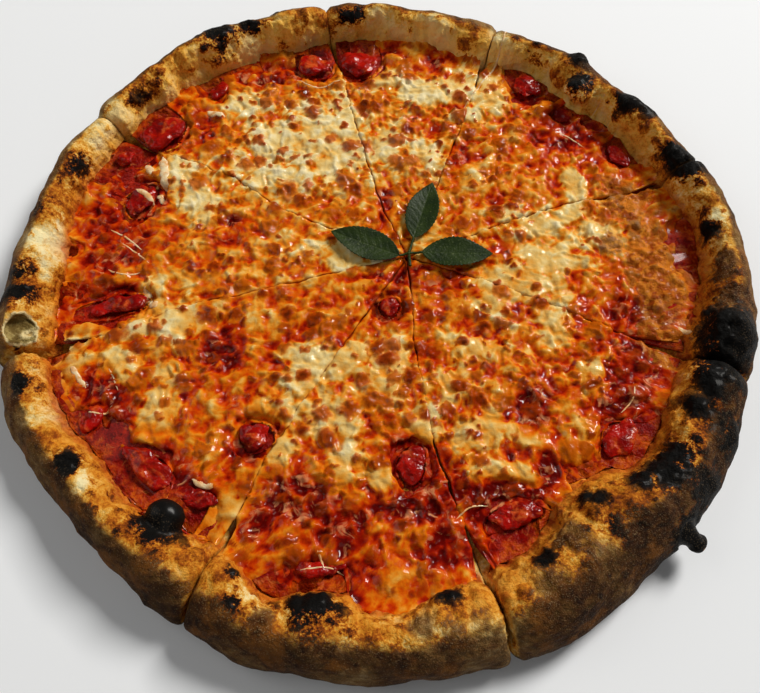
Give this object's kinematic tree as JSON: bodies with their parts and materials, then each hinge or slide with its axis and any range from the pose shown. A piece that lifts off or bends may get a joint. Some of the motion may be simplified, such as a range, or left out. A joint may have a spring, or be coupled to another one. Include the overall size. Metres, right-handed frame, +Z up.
{
  "type": "margherita pizza",
  "caption": "Round wood-fired margherita pizza, cut into slices that still lie together, with a puffed charred rim, melted mozzarella, tomato and a sprig of basil.",
  "frame": {"origin": "middle of the pizza's box at its base, on the flat underside", "axes": "+Z up through the topping; the picture looks along +Y and down, and +X is towards the slice whose rim carries the largest black blister"},
  "size_m": [0.3234, 0.3202, 0.0272],
  "materials": {
    "crust": "baked bread crust, matte, browned and charred in spots",
    "sauce": "wet cooked tomato",
    "cheese": "melted mozzarella, oily, with browned blisters",
    "tomato": "wet crushed tomato",
    "basil": "satin leaf"
  },
  "bodies": {
    "root": {"dough_1": "crust", "dough_2": "crust", "dough_3": "crust", "dough_4": "crust", "dough_5": "crust", "dough_6": "crust", "dough_7": "crust", "dough_8": "crust", "sauce_1": "sauce", "sauce_2": "sauce", "sauce_3": "sauce", "sauce_4": "sauce", "sauce_5": "sauce", "sauce_6": "sauce", "sauce_7": "sauce", "sauce_8": "sauce", "cheese_1": "cheese", "cheese_2": "cheese", "cheese_3": "cheese", "cheese_4": "cheese", "cheese_5": "cheese", "cheese_6": "cheese", "cheese_7": "cheese", "cheese_8": "cheese", "tomato_01": "tomato", "tomato_02": "tomato", "tomato_03": "tomato", "tomato_04": "tomato", "tomato_05": "tomato", "tomato_06": "tomato", "tomato_07": "tomato", "tomato_08": "tomato", "tomato_09": "tomato", "tomato_10": "tomato", "tomato_11": "tomato", "tomato_12": "tomato", "tomato_13": "tomato", "tomato_14": "tomato", "tomato_15": "tomato", "tomato_16": "tomato", "tomato_17": "tomato", "tomato_18": "tomato", "tomato_19": "tomato", "basil_sprig": "basil"}
  },
  "joints": []
}
